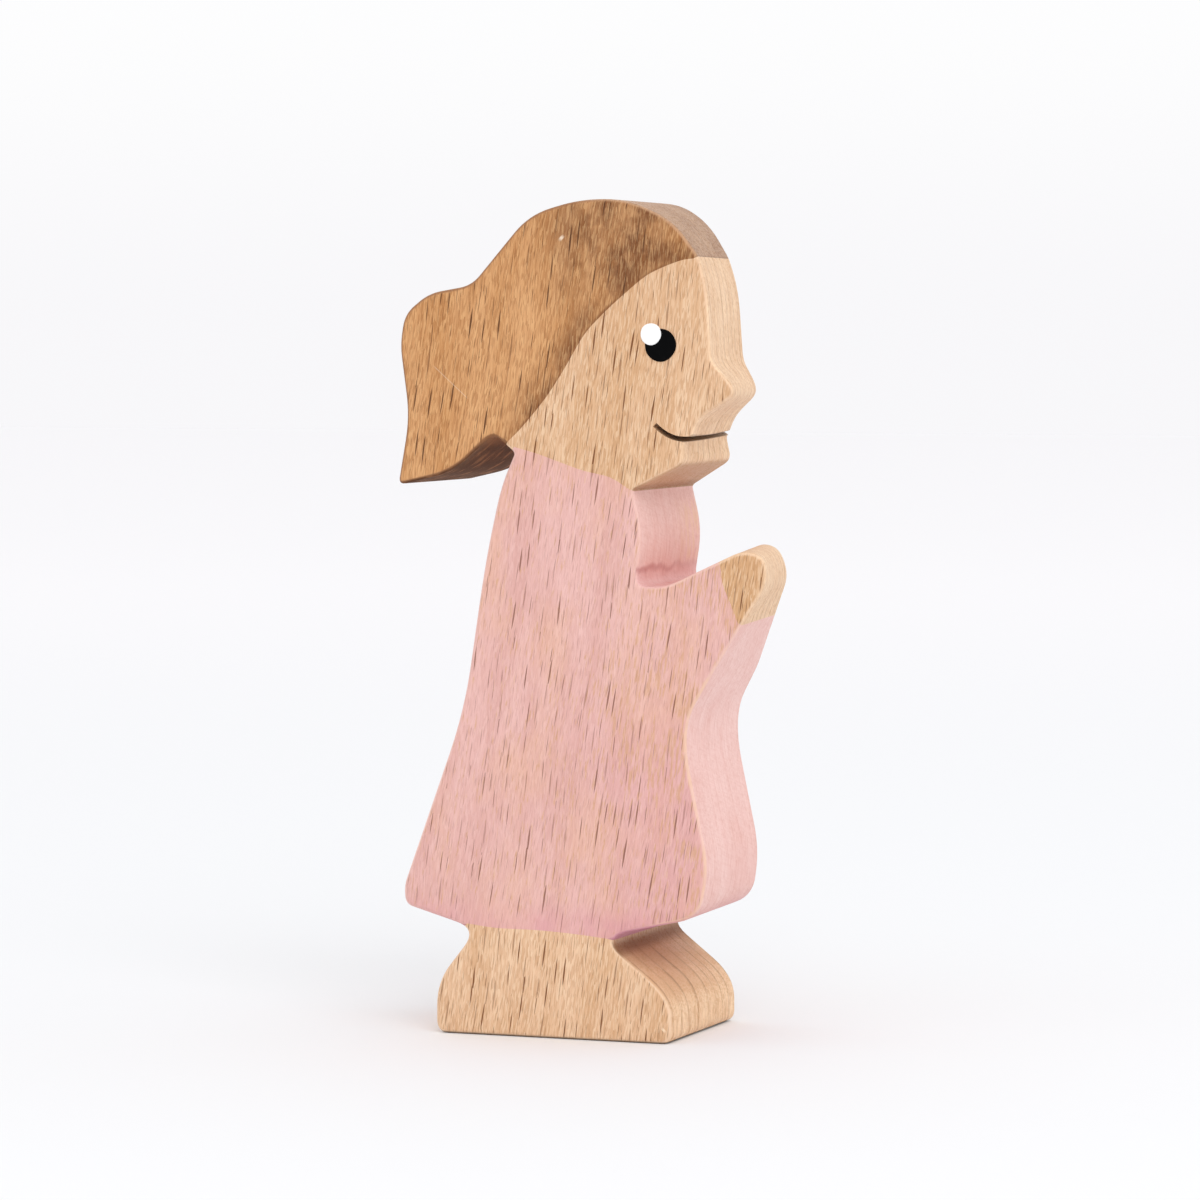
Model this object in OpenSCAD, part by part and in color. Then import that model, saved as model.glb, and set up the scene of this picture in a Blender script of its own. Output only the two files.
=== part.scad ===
// Flat figure of a girl, sawn in profile from one board and stained in zones.
// Millimetres. +Z is up, +X is where the face looks, -Y is the figure's right side.
// The outline is a closed run of corners, each rounded. The far face may stand back from the near one.

/* [Board] */
// thickness of the board, across the figure
board_thickness = 20; // [16:0.5:24]
// rounding of the arris between a flat face and the sawn edge
arris_radius = 0.5; // [0.35:0.05:0.9]
// depth that the stain reaches into the wood
stain_depth = 0.25; // [0.15:0.05:0.4]

/* [Feet] */
// length of the flat sole, heel to toe
sole_length = 27; // [24:0.5:30]
// height of the ankle above the sole
foot_height = 11.4; // [10:0.2:13]
// step of the far toe ahead of the near one
toe_step = 0.6; // [0:0.1:1]

/* [Dress] */
// length of the hem, back to front
hem_length = 35; // [32:0.2:38]
// reach of the hem behind the heel
hem_overhang = 3.8; // [2.6:0.1:4.6]
// height of the nape above the chin
nape_rise = 3.9; // [3.2:0.1:4.6]
// set back of the far outline at the front of the dress
dress_set_back = 0.8; // [0:0.1:2]

/* [Arm] */
// distance from the heel to the front of the neck
neck_front = 22.6; // [21:0.2:24]
// height of the hollow under the chin above the ankle
hollow_height = 37.5; // [35:0.2:39]
// reach of the hand in front of the neck
arm_reach = 15.1; // [13.5:0.1:17]
// rise of the hand above the hollow
hand_rise = 4; // [3.5:0.1:5.5]
// set back of the far outline at the hand
hand_set_back = 4.2; // [0:0.1:5]

/* [Head] */
// height of the neck, hollow to chin
neck_height = 10.2; // [9:0.1:11.5]
// swell of the neck in front
neck_swell = 1.15; // [0.5:0.05:1.6]
// reach of the nose in front of the neck
nose_reach = 11.3; // [10:0.1:12.5]
// height of the face, chin to hair line
face_height = 24.85; // [23:0.15:27]
// set back of the far outline at the nose
face_set_back = 4; // [0:0.1:5]

/* [Hair] */
// length of the hair, hair line to the end of the tail
hair_length = 34.4; // [31:0.2:37]
// height of the crown above the hair line in front
crown_rise = 6.1; // [5:0.1:7.5]
// height of the hanging end of the tail above the chin
tail_level = 0.3; // [-1:0.1:2]

/* [Mouth] */
// width of the saw cut
mouth_width = 0.55; // [0.4:0.05:0.9]
// length of the saw cut behind the lips
mouth_length = 3.2; // [2.5:0.1:5]
// rise of the inner end of the saw cut
mouth_curl = 1.5; // [0.5:0.05:2]

/* [Eyes] */
// diameter of the black dot
eye_d = 3.4; // [2.4:0.1:4.4]
// diameter of the white highlight
highlight_d = 2.35; // [1.5:0.05:3]
// distance from the bridge of the nose back to the black dot
eye_depth = 5.6; // [4.8:0.1:7]
// height of the black dot above the chin, as a share of the face
eye_level_share = 0.62; // [0.56:0.01:0.66]
// shift of the highlight toward the back
highlight_back = 1.05; // [0.4:0.05:1.4]
// shift of the highlight upward
highlight_up = 1.2; // [0.4:0.05:1.6]
// thickness of the paint on the wood
paint_thickness = 0.15; // [0.1:0.05:0.3]

/* [Roundings] */
// rounding at the lips, the nape, the chin crease and the edge of the toe
crisp_round = 0.4; // [0.25:0.05:0.6]
// rounding at the nose, chin, tail end and back of the hem
tip_round = 0.9; // [0.6:0.05:1.2]
// rounding at the heel, hand and hollow
corner_round = 1.4; // [1:0.1:1.8]
// rounding of the hair and the front of the hem
soft_round = 2.5; // [1.8:0.1:3.2]
// rounding of the toe and of the ankle in front
toe_round = 3.1; // [2.4:0.1:3.8]
// rounding of the waist and of the back
sweep_round = 5; // [3.5:0.1:6.5]

/* [Hidden] */
$fn = 96;

corner_steps = 4;
arris_steps = 2;
stain_arris_steps = 1;
// a rounding takes no more than this share of an edge, and keeps at least that share when set in
edge_share = 0.48;
least_round_share = 0.2;
// the zones reach half a board beyond either face, and lean on at the same slant
near_lean_share = -0.5;
far_lean_share = 1.5;

half_board = board_thickness / 2;
hollow_level = foot_height + hollow_height;
chin_level = hollow_level + neck_height;
dress_height = chin_level + nape_rise - foot_height;
hair_line_level = chin_level + face_height;
crown_level = hair_line_level + crown_rise;
tail_end_level = chin_level + tail_level;

// each section of the figure as [start in x, start in z, length, height]
foot_frame = [0, 0, sole_length, foot_height];
dress_frame = [-hem_overhang, foot_height, hem_length, dress_height];
arm_frame = [neck_front, hollow_level, arm_reach, hand_rise];
neck_frame = [neck_front, hollow_level, neck_swell, neck_height];
face_frame = [neck_front, chin_level, nose_reach, face_height];
hair_line_share = 0.655;
hair_front = neck_front + nose_reach * hair_line_share;
hair_frame = [hair_front - hair_length, tail_end_level, hair_length, crown_level - tail_end_level];

// corners of the outline, section by section from the heel round the front and over the head:
// share of the length, share of the height, rounding, share of the set back, spine point
foot_front_shares = [
    [0, 0, corner_round, 0, 0],          // heel
    [1, 0, crisp_round, 1, 0],           // edge of the toe
    [1, 0.434, toe_round, 1, 0],         // toe
    [0.707, 0.987, toe_round, 1, 1]      // ankle in front
];
dress_front_shares = [
    [0.973, 0.045, soft_round, 0.7, 1],  // hem in front
    [1, 0.153, soft_round, 1, 1],        // knee
    [0.911, 0.434, sweep_round, 0.9, 1],
    [1.008, 0.545, tip_round, 1.5, 2]    // under the arm
];
arm_shares = [
    [1, 0.14, corner_round, 0.95, 3],    // finger tips
    [0.983, 0.85, corner_round, 1.15, 3],
    [0.821, 1, corner_round, 1.05, 3],   // top of the hand
    [0.25, 0, corner_round, 0.4, 2],     // hollow under the chin
    [0.02, 0, corner_round, 0, 2]
];
neck_shares = [
    [1, 0.531, soft_round, 0, 4]
];
face_shares = [
    [0, 0, crisp_round, 0, 5],           // crease under the chin
    [0.504, 0.115, tip_round, 0.3, 5],   // chin
    [0.51, 0.213, crisp_round, 0.45, 5], // lower lip
    [0.588, 0.228, crisp_round, 0.62, 5],
    [0.658, 0.311, corner_round, 0.6, 5],
    [1, 0.4, tip_round, 1, 5],           // tip of the nose
    [1, 0.447, tip_round, 1, 5],
    [0.779, 0.553, tip_round, 0.74, 5],  // bridge of the nose
    [0.744, 0.857, soft_round, 0.78, 5], // forehead
    [0.655, 1, tip_round, 0.8, 5]        // hair line
];
hair_shares = [
    [0.916, 0.925, soft_round, 0.65, 5],
    [0.764, 1, soft_round, 0.2, 5],      // crown
    [0.606, 1, soft_round, 0, 5],
    [0.441, 0.948, soft_round, 0, 5],    // back of the head
    [0.249, 0.703, corner_round, 0, 6],  // root of the tail
    [0.105, 0.675, corner_round, 0, 6],
    [0.023, 0.603, corner_round, 0, 6],
    [0.007, 0.494, corner_round, 0, 6],
    [0.038, 0.241, soft_round, 0, 6],
    [0, 0, tip_round, 0, 6],             // hanging end of the tail
    [0.185, 0.048, soft_round, 0, 6],
    [0.321, 0.186, corner_round, 0, 5]   // under the tail
];
dress_back_shares = [
    [0.371, 1, crisp_round, 0, 5],       // nape
    [0.324, 0.93, soft_round, 0, 4],
    [0.273, 0.777, sweep_round, 0, 2],
    [0.202, 0.461, sweep_round, 0, 2],   // small of the back
    [0, 0.087, tip_round, 0, 1],         // hem behind
    [0.004, 0.047, tip_round, 0, 1]
];
foot_back_shares = [
    [0.174, 1.003, soft_round, 0, 1],    // ankle behind
    [0, 0.482, soft_round, 0, 0]         // heel
];

// spine points that the flat faces fan out from: shares of the section, share of its set back
foot_spine_shares = [0.472, 0.439, 0];
hem_spine_shares = [0.47, 0.089, 0];
chest_spine_shares = [0.556, 0.651, 0];
arm_spine_shares = [0.61, 0.05, 0.8];
neck_spine_shares = [0.556, 0.864, 0];
head_spine_shares = [-0.34, 0.601, 0];
tail_spine_shares = [0.173, 0.376, 0];

// border of each stained zone, in the same shares: length, height, rounding, set back
hair_zone_shares = [
    [-0.1, 1.15, 0, 0],
    [-0.1, -0.04, 0, 0],
    [0.2, -0.005, 0, 0],
    [0.328, 0.1, 0, 0],
    [0.486, 0.291, soft_round, 0],
    [0.618, 0.517, soft_round, 0],
    [0.735, 0.652, soft_round, 0.1],
    [0.852, 0.754, soft_round, 0.4],
    [0.996, 0.798, crisp_round, 0.8],
    [1.15, 0.803, 0, 0.8],
    [1.15, 1.15, 0, 0]
];
hand_zone_shares = [
    [0.635, 1.24, 0, 0.9],
    [0.651, 0.63, 0, 0.9],
    [0.697, -0.1, 0, 0.9],
    [0.79, -0.83, corner_round, 0.9],
    [0.87, -1.03, crisp_round, 0.9],
    [1.6, -1.07, 0, 0.9],
    [1.6, 1.24, 0, 0.9]
];
head_zone_shares = [
    [-0.15, 0.909, 0, 0],
    [0.18, 0.93, 0, 0],
    [0.315, 0.986, 0, 0],
    [0.371, 1.005, crisp_round, 0],
    [0.453, 0.998, corner_round, 0],
    [0.603, 0.962, corner_round, 0],
    [0.685, 0.95, corner_round, 0],
    [0.755, 0.929, crisp_round, 0],
    [0.793, 0.907, 0, 0],
    [0.845, 0.874, 0, 0],
    [1.4, 0.874, 0, 0],
    [1.4, 1.8, 0, 0],
    [-0.15, 1.8, 0, 0]
];
foot_zone_shares = [
    [-0.3, -0.4, 0, 0],
    [1.5, -0.4, 0, 0],
    [1.5, 0.7, 0, 0],
    [0.917, 0.877, 0, 0],
    [0.776, 0.991, crisp_round, 0],
    [0.589, 1.004, corner_round, 0],
    [0.428, 1.023, corner_round, 0],
    [0.261, 1.026, corner_round, 0],
    [0.143, 1.031, crisp_round, 0],
    [0.072, 0.921, 0, 0],
    [-0.3, 0.895, 0, 0]
];

// a row of shares as a corner in millimetres: x, z, rounding, set back, spine point
function placed(frame, set_back, rows) = [
    for (r = rows)
        [frame[0] + r[0] * frame[2], frame[1] + r[1] * frame[3], r[2], r[3] * set_back, r[4]]
];

function spine_point(frame, set_back, s) =
    [frame[0] + s[0] * frame[2], frame[1] + s[1] * frame[3], s[2] * set_back];

raw_corners = concat(
    placed(foot_frame, -toe_step, foot_front_shares),
    placed(dress_frame, dress_set_back, dress_front_shares),
    placed(arm_frame, hand_set_back, arm_shares),
    placed(neck_frame, 0, neck_shares),
    placed(face_frame, face_set_back, face_shares),
    placed(hair_frame, face_set_back, hair_shares),
    placed(dress_frame, dress_set_back, dress_back_shares),
    placed(foot_frame, 0, foot_back_shares)
);

raw_spine = [
    spine_point(foot_frame, 0, foot_spine_shares),
    spine_point(dress_frame, 0, hem_spine_shares),
    spine_point(dress_frame, 0, chest_spine_shares),
    spine_point(arm_frame, hand_set_back, arm_spine_shares),
    spine_point(dress_frame, 0, neck_spine_shares),
    spine_point(face_frame, 0, head_spine_shares),
    spine_point(hair_frame, 0, tail_spine_shares)
];

function toward(a, b) = (b - a) / norm(b - a);

// the rounded corner at v between its neighbours a and b, moved in by inset
function corner_curve(a, v, b, round, inset) =
    round == 0 ? [v] :
    let (
        u = toward(v, a),
        w = toward(v, b),
        cosine = -(u * w),
        half_turn = cross(-u, w) / (1 + cosine),
        tip = v + inset * ([u[1], -u[0]] + [-w[1], w[0]]) / (1 + cosine),
        before = min(round, edge_share * norm(a - v)),
        after = min(round, edge_share * norm(b - v)),
        p = tip + max(least_round_share * before, before - inset * half_turn) * u,
        q = tip + max(least_round_share * after, after - inset * half_turn) * w
    )
    [
        for (k = [0 : corner_steps])
            let (t = k / corner_steps)
                (1 - t) * (1 - t) * p + 2 * t * (1 - t) * tip + t * t * q
    ];

// corners with the given share of their set back
function leaned(rows, lean) = [for (r = rows) [r[0] - lean * r[3], r[1]]];

// the closed outline, moved in by inset
function outline(rows, lean, inset) =
    let (flat = leaned(rows, lean), n = len(rows))
    [
        for (i = [0 : n - 1])
            each corner_curve(flat[(i + n - 1) % n], flat[i], flat[(i + 1) % n], rows[i][2], inset)
    ];

raw_outline = outline(raw_corners, 0, 0);
raw_x = [for (p = raw_outline) p[0]];
middle_x = (min(raw_x) + max(raw_x)) / 2;

function centred(rows) = [
    for (r = rows)
        [for (i = [0 : len(r) - 1]) i == 0 ? r[i] - middle_x : r[i]]
];

corners = centred(raw_corners);
spine = centred(raw_spine);
spine_of_point = [for (c = corners) for (k = [0 : corner_steps]) c[4]];

// the whole figure, moved in by depth on every side
module figure(depth, steps) {
    radius = arris_radius - depth;
    near = [
        for (s = [0 : steps])
            let (angle = 90 * s / steps)
                [depth + radius * (1 - sin(angle)), depth - half_board + radius * (1 - cos(angle))]
    ];
    far = [for (s = [steps : -1 : 0]) [near[s][0], -near[s][1]]];
    rings = concat(near, far);
    n = len(spine_of_point);
    last = len(rings) - 1;
    ring_points = [
        for (r = rings)
            let (lean = (r[1] + half_board) / board_thickness)
                for (p = outline(corners, lean, r[0]))
                    [p[0], r[1], p[1]]
    ];
    near_spine = [
        for (s = spine)
            let (lean = (rings[0][1] + half_board) / board_thickness)
                [s[0] - lean * s[2], rings[0][1], s[1]]
    ];
    far_spine = [
        for (s = spine)
            let (lean = (rings[last][1] + half_board) / board_thickness)
                [s[0] - lean * s[2], rings[last][1], s[1]]
    ];
    near_base = len(ring_points);
    far_base = near_base + len(spine);
    edge_faces = [
        for (r = [0 : last - 1])
            for (i = [0 : n - 1])
                let (a = r * n + i, b = r * n + (i + 1) % n)
                    each [[a, b, b + n], [a, b + n, a + n]]
    ];
    face_fans = [
        for (i = [0 : n - 1])
            let (j = (i + 1) % n, s = spine_of_point[i], e = spine_of_point[j])
                each concat(
                    [[near_base + s, j, i], [last * n + i, last * n + j, far_base + s]],
                    s == e ? [] : [
                        [near_base + s, near_base + e, j],
                        [last * n + j, far_base + e, far_base + s]
                    ]
                )
    ];
    polyhedron(points = concat(ring_points, near_spine, far_spine), faces = concat(edge_faces, face_fans));
}

// a zone through the whole board, its far side set back with the outline
module leaning_zone(frame, set_back, rows) {
    zone = centred(placed(frame, set_back, rows));
    near = outline(zone, near_lean_share, 0);
    far = outline(zone, far_lean_share, 0);
    n = len(near);
    points = concat(
        [for (p = near) [p[0], -board_thickness, p[1]]],
        [for (p = far) [p[0], board_thickness, p[1]]]
    );
    sides = [
        for (i = [0 : n - 1])
            let (j = (i + 1) % n)
                each [[i, j, j + n], [i, j + n, i + n]]
    ];
    near_fan = [for (i = [1 : n - 2]) [0, i + 1, i]];
    far_fan = [for (i = [1 : n - 2]) [n, n + i, n + i + 1]];
    polyhedron(points = points, faces = concat(sides, near_fan, far_fan));
}

// a zone straight through the board
module straight_zone(frame, rows) {
    zone = centred(placed(frame, 0, rows));
    rotate([90, 0, 0])
        linear_extrude(height = board_thickness * 2, center = true)
            polygon(outline(zone, 0, 0));
}

module hair_zone() {
    leaning_zone(hair_frame, face_set_back, hair_zone_shares);
}

module dress_zone() {
    difference() {
        translate([-hem_length, -board_thickness, -foot_height])
            cube([hem_length * 2, board_thickness * 2, crown_level]);
        straight_zone(dress_frame, head_zone_shares);
        straight_zone(foot_frame, foot_zone_shares);
        leaning_zone(arm_frame, hand_set_back, hand_zone_shares);
    }
}

// the mouth is one saw cut, in at the lips and curling up at its inner end
lip_share = 0.51;
lip_level_share = 0.222;
lip_x = neck_front + nose_reach * lip_share - middle_x;
lip_z = chin_level + face_height * lip_level_share;

function mouth_line(t) = [lip_x - mouth_length * t, lip_z + mouth_curl * t * t];

function mouth_side(t) =
    let (slope = [-mouth_length, 2 * mouth_curl * t])
    [slope[1], -slope[0]] / norm(slope) * mouth_width / 2;

mouth_steps = 8;

module mouth_cut() {
    inner = [for (k = [0 : mouth_steps]) k / mouth_steps];
    upper = [for (t = inner) mouth_line(t) + mouth_side(t)];
    lower = [for (k = [mouth_steps : -1 : 0]) mouth_line(inner[k]) - mouth_side(inner[k])];
    out = [[lip_x + mouth_length, lip_z - mouth_width / 2], [lip_x + mouth_length, lip_z + mouth_width / 2]];
    rotate([90, 0, 0])
        linear_extrude(height = board_thickness * 2, center = true)
            polygon(concat(out, upper, lower));
}

module wooden_figure() {
    color("burlywood")
        difference() {
            figure(0, arris_steps);
            difference() {
                union() {
                    hair_zone();
                    dress_zone();
                }
                figure(stain_depth, stain_arris_steps);
            }
            mouth_cut();
        }
}

module hair_stain() {
    color("saddlebrown")
        intersection() {
            figure(0, arris_steps);
            difference() {
                hair_zone();
                figure(stain_depth, stain_arris_steps);
            }
        }
}

module dress_stain() {
    color("lightpink")
        intersection() {
            figure(0, arris_steps);
            difference() {
                dress_zone();
                figure(stain_depth, stain_arris_steps);
            }
        }
}

bridge_share = 0.779;
eye_x = neck_front + nose_reach * bridge_share - eye_depth - middle_x;
eye_z = chin_level + face_height * eye_level_share;

// a paint disc on one flat face: side is -1 on the right of the figure, 1 on the left
module paint_disc(side, x, z, d) {
    translate([x, side * (half_board + paint_thickness / 2), z])
        rotate([90, 0, 0])
            cylinder(h = paint_thickness, d = d, center = true);
}

module eye_dot(side) {
    difference() {
        paint_disc(side, eye_x, eye_z, eye_d);
        translate([eye_x - highlight_back, side * half_board, eye_z + highlight_up])
            rotate([90, 0, 0])
                cylinder(h = board_thickness, d = highlight_d, center = true);
    }
}

module highlight(side) {
    paint_disc(side, eye_x - highlight_back, eye_z + highlight_up, highlight_d);
}

module right_eye_dot() {
    color("black") eye_dot(-1);
}

module right_eye_highlight() {
    color("white") highlight(-1);
}

module left_eye_dot() {
    color("black") eye_dot(1);
}

module left_eye_highlight() {
    color("white") highlight(1);
}

wooden_figure();
hair_stain();
dress_stain();
right_eye_dot();
right_eye_highlight();
left_eye_dot();
left_eye_highlight();
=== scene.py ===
import math

import bmesh
import bpy
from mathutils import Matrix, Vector


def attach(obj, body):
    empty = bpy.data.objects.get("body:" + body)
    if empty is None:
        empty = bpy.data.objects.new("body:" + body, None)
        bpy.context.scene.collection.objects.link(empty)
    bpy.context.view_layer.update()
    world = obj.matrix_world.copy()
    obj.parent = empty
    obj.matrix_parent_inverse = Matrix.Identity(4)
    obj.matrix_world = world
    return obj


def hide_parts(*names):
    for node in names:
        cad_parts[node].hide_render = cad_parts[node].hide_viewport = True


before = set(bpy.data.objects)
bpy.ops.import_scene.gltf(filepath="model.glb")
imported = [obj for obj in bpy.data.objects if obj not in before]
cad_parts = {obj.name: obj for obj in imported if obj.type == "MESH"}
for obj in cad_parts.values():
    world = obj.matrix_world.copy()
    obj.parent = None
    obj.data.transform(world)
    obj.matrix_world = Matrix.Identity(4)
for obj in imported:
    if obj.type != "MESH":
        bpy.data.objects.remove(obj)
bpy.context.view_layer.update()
mm = 0.001
print("frame loaded:", len(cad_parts), "nodes")


# the sawn board in mm: x the way the face looks, y from the right side to the left, z up
board = {
    "thickness": 20.0,
    "arris": 0.5,             # easing between a flat face and the sawn edge
    "arrisSteps": 5,
    "cornerSteps": 8,
    "lineSteps": 5,           # steps of a stain line between two of its points
    "edgeShare": 0.48,        # a rounding takes no more of an edge than this
    "leastRound": 0.2,        # and keeps this much of itself when set in
    "stainDepth": 0.25,
    "sharpAngle": 35.0,       # edges that turn by more degrees than this stay sharp
    "zones": {"wood": 0, "hair": 1, "dress": 2},
    "byHeight": ("wood", "dress", "wood", "wood", "hair"),      # feet, dress, hand, face, hair
    "outline": [              # spot, x, z, rounding, set back of the far face
        ("heel", -16.65, 0.0, 1.4, 0.0),
        ("toe edge", 10.35, 0.0, 1.3, -0.6),
        ("toe", 10.35, 4.95, 3.1, -0.6),
        ("ankle front", 2.4, 11.25, 3.1, -0.6),
        ("hem front", 13.6, 13.7, 2.5, 0.55),
        ("knee", 14.55, 19.3, 2.5, 0.8),
        ("lap", 11.4, 33.8, 5.0, 0.7),
        ("under arm", 14.8, 39.5, 0.9, 1.2),
        ("hand line below", 18.25, 45.0, 0.0, 2.75),
        ("finger tips", 21.05, 49.45, 1.4, 4.0),
        ("knuckles", 20.8, 52.3, 1.4, 4.8),
        ("hand top", 18.35, 52.9, 1.4, 4.4),
        ("hand line above", 15.65, 51.65, 0.0, 3.55),
        ("hollow front", 9.7, 48.9, 1.4, 1.7),
        ("hollow back", 6.25, 48.9, 1.4, 0.0),
        ("throat", 7.1, 54.3, 2.5, 0.0),
        ("chin crease", 5.95, 59.1, 0.4, 0.0),
        ("chin", 11.65, 61.95, 0.9, 1.2),
        ("lower lip", 11.7, 64.4, 0.4, 1.8),
        ("upper lip", 12.6, 64.75, 0.4, 2.5),
        ("under nose", 13.35, 66.85, 1.4, 2.4),
        ("nose below", 17.25, 69.05, 0.9, 4.0),
        ("nose", 17.25, 70.2, 0.9, 4.0),
        ("bridge", 14.75, 72.85, 0.9, 2.95),
        ("forehead", 14.35, 80.4, 2.5, 3.1),
        ("hair line", 13.35, 83.95, 0.9, 3.2),
        ("fringe", 10.45, 87.75, 2.5, 2.6),
        ("crown", 5.2, 90.05, 2.5, 0.8),
        ("crown back", -0.2, 90.05, 2.5, 0.0),
        ("head back", -5.9, 88.45, 2.5, 0.0),
        ("tail root", -12.5, 80.95, 1.4, 0.0),
        ("tail top", -17.45, 80.1, 1.4, 0.0),
        ("tail shoulder", -20.25, 77.9, 1.4, 0.0),
        ("tail side", -20.8, 74.55, 1.4, 0.0),
        ("tail waist", -19.75, 66.8, 2.5, 0.0),
        ("tail end", -21.05, 59.4, 0.9, 0.0),
        ("tail belly", -14.7, 60.85, 2.5, 0.0),
        ("under tail", -10.0, 65.1, 1.4, 0.0),
        ("hair line behind", -8.5, 63.85, 0.0, 0.0),
        ("nape", -7.5, 63.0, 0.4, 0.0),
        ("shoulder", -9.1, 59.4, 2.5, 0.0),
        ("upper back", -10.9, 51.5, 5.0, 0.0),
        ("small of back", -13.4, 35.2, 5.0, 0.0),
        ("hem back", -20.45, 15.9, 0.9, 0.0),
        ("hem under", -20.3, 13.85, 0.9, 0.0),
        ("ankle back", -11.95, 11.45, 2.5, 0.0),
        ("heel back", -16.65, 5.5, 2.5, 0.0),
    ],
}

# borders of the stain: spot and step on the outline at either end, points x, z, set back between them
stainLines = {
    "hair": {
        "ends": [("hair line behind", 0), ("hair line", 4)],
        "points": [
            (-6.5, 65.85, 0.0), (-3.8, 69.0, 0.0), (-1.75, 72.0, 0.0), (0.5, 75.6, 0.0), (2.85, 78.05, 0.2),
            (5.4, 80.25, 0.6), (7.4, 81.8, 1.2), (9.2, 82.7, 1.7), (11.45, 83.5, 2.6),
        ],
    },
    "neck": {
        "ends": [("nape", 0), ("chin crease", 4)],
        "points": [(-4.75, 62.9, 0.0), (-2.4, 62.1, 0.0), (0.5, 61.15, 0.0), (3.4, 60.5, 0.0)],
    },
    "hand": {
        "ends": [("hand line above", 0), ("hand line below", 0)],
        "points": [(16.15, 49.3, 3.6), (16.95, 47.4, 3.3)],
    },
    "ankle": {
        "ends": [("ankle back", 2), ("ankle front", 4)],
        "points": [(-9.55, 11.72, 0.0), (-5.1, 11.68, 0.0), (-0.75, 11.45, 0.0)],
    },
}


def toward(a, b):
    return (b - a).normalized()


def roundedCorner(before, at, after, rounding, inset):
    u, w = toward(at, before), toward(at, after)
    bend = 1 - u.dot(w)
    tip = at + inset * (Vector((u.y, -u.x)) + Vector((-w.y, w.x))) / bend
    if rounding == 0.0:
        return [tip]
    halfTurn = -(u.x * w.y - u.y * w.x) / bend
    reach = []
    for other in (before, after):
        full = min(rounding, board["edgeShare"] * (other - at).length)
        reach.append(max(board["leastRound"] * full, full - inset * halfTurn))
    start, end = tip + reach[0] * u, tip + reach[1] * w
    steps = [k / board["cornerSteps"] for k in range(board["cornerSteps"] + 1)]
    return [(1 - t) ** 2 * start + 2 * t * (1 - t) * tip + t * t * end for t in steps]


def outlineAt(lean, inset):
    rows = board["outline"]
    flat = [Vector((x - lean * setBack, z)) for spot, x, z, rounding, setBack in rows]
    ring = []
    for i, row in enumerate(rows):
        ring.append(roundedCorner(flat[i - 1], flat[i], flat[(i + 1) % len(rows)], row[3], inset))
    return ring


def smoothLine(points):
    padded = [2 * points[0] - points[1]] + points + [2 * points[-1] - points[-2]]
    curve = []
    for a, b, c, d in zip(padded, padded[1:], padded[2:], padded[3:]):
        for k in range(board["lineSteps"]):
            t = k / board["lineSteps"]
            pull = t * (c - a) + t * t * (2 * a - 5 * b + 4 * c - d)
            curve.append(b + 0.5 * (pull + t ** 3 * (3 * b - a - 3 * c + d)))
    return curve[1:]


def ringLevels():
    half, arris, steps = board["thickness"] / 2, board["arris"], board["arrisSteps"]
    angles = [math.pi / 2 * s / steps for s in range(steps + 1)]
    near = [(arris * (1 - math.sin(a)), -half + arris * (1 - math.cos(a))) for a in angles]
    return near + [(inset, -y) for inset, y in reversed(near)]


def ringPlaces(inset, y):
    lean = (y + board["thickness"] / 2) / board["thickness"]
    corners = outlineAt(lean, inset)
    places = [p for corner in corners for p in corner]
    spots = [row[0] for row in board["outline"]]
    for line in stainLines.values():
        first, last = [corners[spots.index(spot)][step] for spot, step in line["ends"]]
        between = [Vector((x - lean * setBack, z)) for x, z, setBack in line["points"]]
        places += smoothLine([first] + between + [last])
    return [Vector((p.x, y, p.y)) * mm for p in places]


def splitZones(bm, rim, rowSizes, places, spotLayer):
    spots = [row[0] for row in board["outline"]]
    used = len(rim)
    for line in stainLines.values():
        a, b = [rim[sum(rowSizes[:spots.index(spot)]) + step] for spot, step in line["ends"]]
        count = (len(line["points"]) + 1) * board["lineSteps"] - 1
        uncut = next(f for f in a.link_faces if b in f.verts)
        known = set(bm.verts)
        bmesh.utils.face_split(uncut, a, b, coords=places[used:used + count])
        for vert in [v for v in bm.verts if v not in known]:
            k = min(range(count), key=lambda n: (places[used + n] - vert.co).length)
            vert[spotLayer] = used + k
        used += count


def facesOut(bm):
    bm.normal_update()                                 # moved vertices leave old normals behind
    bmesh.ops.recalc_face_normals(bm, faces=bm.faces[:])


def sawBoard():
    bm = bmesh.new()
    spotLayer = bm.verts.layers.int.new("spot")
    zoneLayer = bm.faces.layers.int.new("zone")
    levels = ringLevels()
    places = ringPlaces(*levels[0])
    rowSizes = [1 if row[3] == 0.0 else board["cornerSteps"] + 1 for row in board["outline"]]
    rim = [bm.verts.new(p) for p in places[:sum(rowSizes)]]
    for i, vert in enumerate(rim):
        vert[spotLayer] = i
    bm.faces.new(rim)
    splitZones(bm, rim, rowSizes, places, spotLayer)
    order = sorted(bm.faces, key=lambda f: f.calc_center_median().z)
    for face, zone in zip(order, board["byHeight"]):
        face[zoneLayer] = board["zones"][zone]
    cap = bm.faces[:]
    for k, level in enumerate(levels[1:]):
        places = ringPlaces(*level)
        grown = bmesh.ops.extrude_face_region(bm, geom=cap, use_keep_orig=True)
        if k > 0:                                      # only the first cap stays
            bmesh.ops.delete(bm, geom=cap, context="FACES")
        cap = [g for g in grown["geom"] if isinstance(g, bmesh.types.BMFace)]
        for vert in {v for f in cap for v in f.verts}:
            vert.co = places[vert[spotLayer]]
    facesOut(bm)
    openEdges = sum(1 for e in bm.edges if not e.is_manifold)
    print("board sawn:", len(bm.faces), "faces,", openEdges, "open edges")
    return bm


def newObject(name, bm):
    mesh = bpy.data.meshes.new(name)
    bm.to_mesh(mesh)
    bm.free()
    made = bpy.data.objects.new(name, mesh)
    bpy.context.scene.collection.objects.link(made)
    return made


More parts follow.
